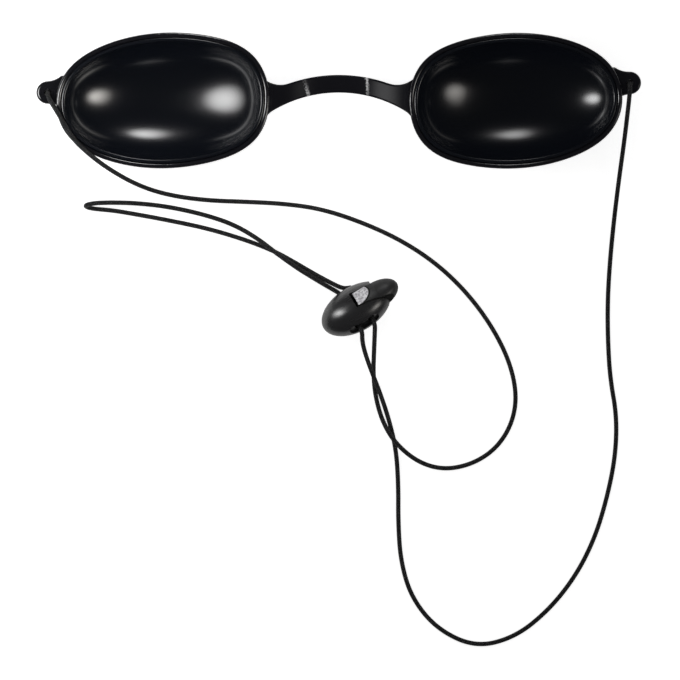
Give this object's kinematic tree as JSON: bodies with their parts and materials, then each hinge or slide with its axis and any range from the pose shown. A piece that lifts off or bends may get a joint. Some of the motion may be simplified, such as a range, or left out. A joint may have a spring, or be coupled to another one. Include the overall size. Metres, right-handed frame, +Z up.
{
  "type": "tanning goggles",
  "caption": "Opaque egg-shaped eye cups in a one-piece frame with a curved nose bridge, on a thin elastic cord with a sprung cord lock.",
  "frame": {"origin": "on the surface that the goggles lie on, under the middle of the goggles without their cord", "axes": "+X from the left cup to the right cup as seen from above, +Y away from the lock and the spare loop, +Z up, out of the open side of both cups"},
  "size_m": [0.145, 0.1474, 0.0144],
  "materials": {
    "frame_plastic": "polished black moulding",
    "cup_plastic": "polished black moulding",
    "cord": "braided charcoal elastic",
    "lock_plastic": "satin black moulding",
    "spring_steel": "drawn wire"
  },
  "bodies": {
    "root": {"frame": "frame_plastic", "left_cup": "cup_plastic", "right_cup": "cup_plastic", "left_knot": "cord", "right_knot": "cord", "cord_left_run": "cord", "cord_tail_loop": "cord", "cord_right_run": "cord", "lock_body": "lock_plastic", "lock_spring": "spring_steel"},
    "plunger": {"lock_plunger": "lock_plastic"}
  },
  "joints": [
    {"name": "plunger_slide", "type": "slide", "parent": "root", "child": "plunger", "axis": [-0.8572, -0.515, 0], "range_m": [0, 0.0006], "stiffness_N_per_m": 300, "springref_m": -0.003, "deforming": ["lock_spring"]}
  ]
}
